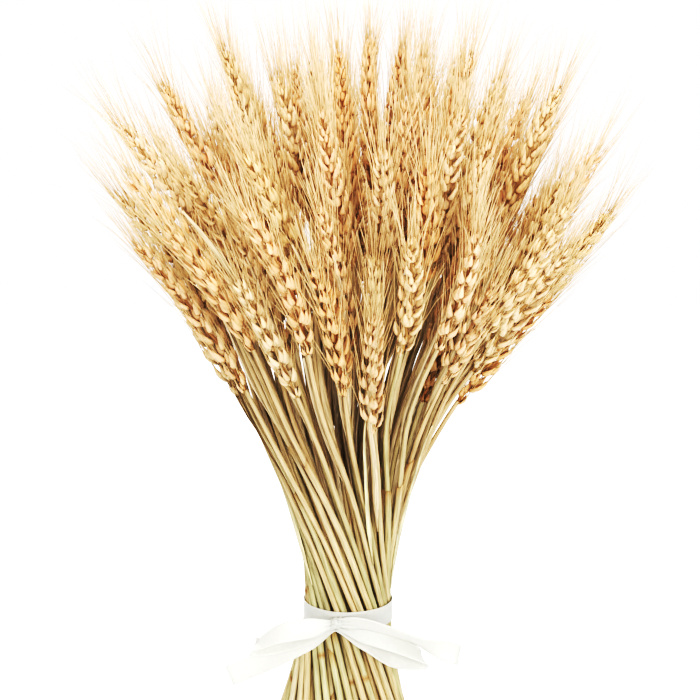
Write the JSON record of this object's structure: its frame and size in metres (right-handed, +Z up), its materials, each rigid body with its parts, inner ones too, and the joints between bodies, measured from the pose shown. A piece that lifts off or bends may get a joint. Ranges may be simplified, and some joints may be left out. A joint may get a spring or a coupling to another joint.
{
  "type": "dried wheat bundle",
  "caption": "Standing sheaf of dried bearded wheat, its stems crossing in a spiral under a round head of ears and tied with a white satin ribbon in a bow.",
  "frame": {"origin": "on the surface that the cut ends stand on, under the middle of the overall width and depth", "axes": "+Z up from the cut ends to the ears; -Y to the front, where the bow is; +X to the side that the head leans to"},
  "size_m": [0.28, 0.2792, 0.4132],
  "materials": {
    "straw": "dry, matt to slightly glossy straw and husk",
    "satin": "satin"
  },
  "bodies": {
    "root": {"stalk_middle": "straw", "stalks_ring1_01": "straw", "stalks_ring1_02": "straw", "stalks_ring1_03": "straw", "stalks_ring2_01": "straw", "stalks_ring2_02": "straw", "stalks_ring2_03": "straw", "stalks_ring2_04": "straw", "stalks_ring2_05": "straw", "stalks_ring2_06": "straw", "stalks_ring3_01": "straw", "stalks_ring3_02": "straw", "stalks_ring3_03": "straw", "stalks_ring3_04": "straw", "stalks_ring3_05": "straw", "stalks_ring3_06": "straw", "stalks_ring3_07": "straw", "stalks_ring3_08": "straw", "stalks_ring3_09": "straw", "stalks_ring4_01": "straw", "stalks_ring4_02": "straw", "stalks_ring4_03": "straw", "stalks_ring4_04": "straw", "stalks_ring4_05": "straw", "stalks_ring4_06": "straw", "stalks_ring4_07": "straw", "stalks_ring4_08": "straw", "stalks_ring4_09": "straw", "stalks_ring4_10": "straw", "stalks_ring4_11": "straw", "stalks_ring4_12": "straw", "stalks_ring5_01": "straw", "stalks_ring5_02": "straw", "stalks_ring5_03": "straw", "stalks_ring5_04": "straw", "stalks_ring5_05": "straw", "stalks_ring5_06": "straw", "stalks_ring5_07": "straw", "stalks_ring5_08": "straw", "stalks_ring5_09": "straw", "stalks_ring5_10": "straw", "stalks_ring5_11": "straw", "stalks_ring5_12": "straw", "stalks_ring5_13": "straw", "stalks_ring5_14": "straw", "stalks_ring5_15": "straw", "ribbon": "satin"}
  },
  "joints": []
}
